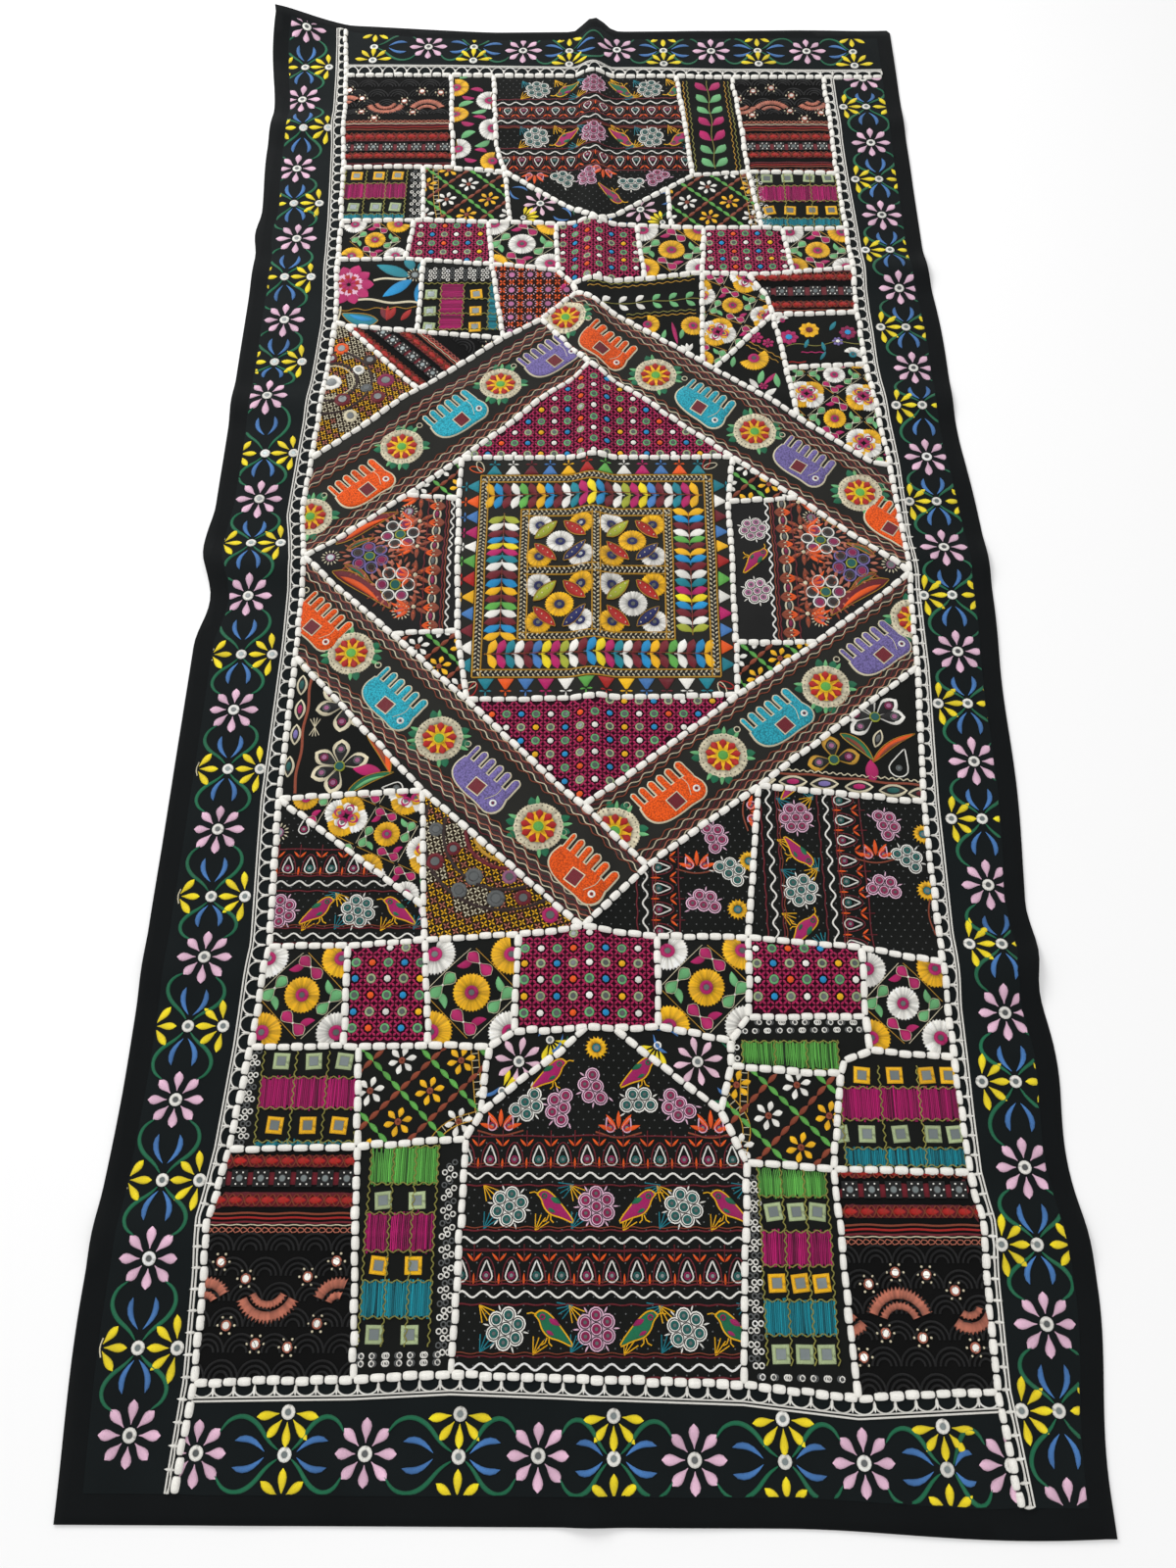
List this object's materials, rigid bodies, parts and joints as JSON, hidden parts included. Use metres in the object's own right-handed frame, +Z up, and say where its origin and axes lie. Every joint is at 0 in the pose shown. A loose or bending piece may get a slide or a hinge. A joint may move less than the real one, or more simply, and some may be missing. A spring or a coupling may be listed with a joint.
{
  "type": "textile wall hanging",
  "caption": "Rectangular patchwork textile hanging: black backing, four embroidered border strips, pieced embroidered patches and white couched seam cords, laid flat.",
  "frame": {"origin": "on the surface that the cloth lies on, under the middle of its box", "axes": "+Y along the cloth to its top edge, +X across it to the right as seen from its face, +Z up out of its face"},
  "size_m": [1.064, 2.206, 0.0317],
  "materials": {
    "backing_cloth": "cotton with thread embroidery",
    "border_cloth": "cotton with thread embroidery",
    "white_cord": "matte padded cord",
    "copper_cloth": "cotton with thread embroidery",
    "silk_cloth": "cotton with thread embroidery",
    "mirror_cloth": "cotton with thread embroidery",
    "strip_cloth": "cotton with thread embroidery",
    "gold_cloth": "cotton with thread embroidery",
    "bloom_cloth": "cotton with thread embroidery",
    "black_cloth": "cotton with thread embroidery"
  },
  "bodies": {
    "root": {"backing_cloth": "backing_cloth", "block_birds_left": "black_cloth", "block_birds_right": "black_cloth", "block_blooms_right": "bloom_cloth", "block_copper_left": "copper_cloth", "block_copper_right": "copper_cloth", "block_leaves_top": "bloom_cloth", "block_left": "black_cloth", "block_right": "black_cloth", "block_silk_green": "silk_cloth", "block_silk_left": "silk_cloth", "block_trellis_low_left": "black_cloth", "block_trellis_low_right": "black_cloth", "block_trellis_top_left": "black_cloth", "block_trellis_top_right": "black_cloth", "border_bottom": "border_cloth", "border_left": "border_cloth", "border_right": "border_cloth", "border_top": "border_cloth", "patch_arches_left": "black_cloth", "patch_arches_right": "black_cloth", "patch_birds_low": "black_cloth", "patch_birds_top": "black_cloth", "patch_blooms_lower_1": "bloom_cloth", "patch_blooms_lower_3": "bloom_cloth", "patch_blooms_lower_5": "bloom_cloth", "patch_blooms_lower_7": "bloom_cloth", "patch_blooms_right_low": "bloom_cloth", "patch_blooms_upper_1": "bloom_cloth", "patch_blooms_upper_3": "bloom_cloth", "patch_blooms_upper_5": "bloom_cloth", "patch_blooms_upper_7": "bloom_cloth", "patch_buds_top": "bloom_cloth", "patch_centre_square": "gold_cloth", "patch_copper_low_left": "copper_cloth", "patch_copper_low_right": "copper_cloth", "patch_copper_top_left": "copper_cloth", "patch_elephants_lower_left": "strip_cloth", "patch_elephants_lower_right": "strip_cloth", "patch_elephants_upper_left": "strip_cloth", "patch_elephants_upper_right": "strip_cloth", "patch_leaves_right": "bloom_cloth", "patch_mirrors_lower_2": "mirror_cloth", "patch_mirrors_lower_4": "mirror_cloth", "patch_mirrors_point_low": "mirror_cloth", "patch_mirrors_point_top": "mirror_cloth", "patch_mirrors_upper_2": "mirror_cloth", "patch_mirrors_upper_4": "mirror_cloth", "patch_mirrors_upper_6": "mirror_cloth", "patch_peony_left": "bloom_cloth", "patch_sequins_low": "gold_cloth", "patch_silk_bottom_left": "silk_cloth", "patch_silk_bottom_right": "silk_cloth", "patch_silk_low_left": "silk_cloth", "patch_silk_low_right": "silk_cloth", "patch_silk_top_left": "silk_cloth", "patch_silk_top_right": "silk_cloth", "seam_cords": "white_cord"}
  },
  "joints": []
}
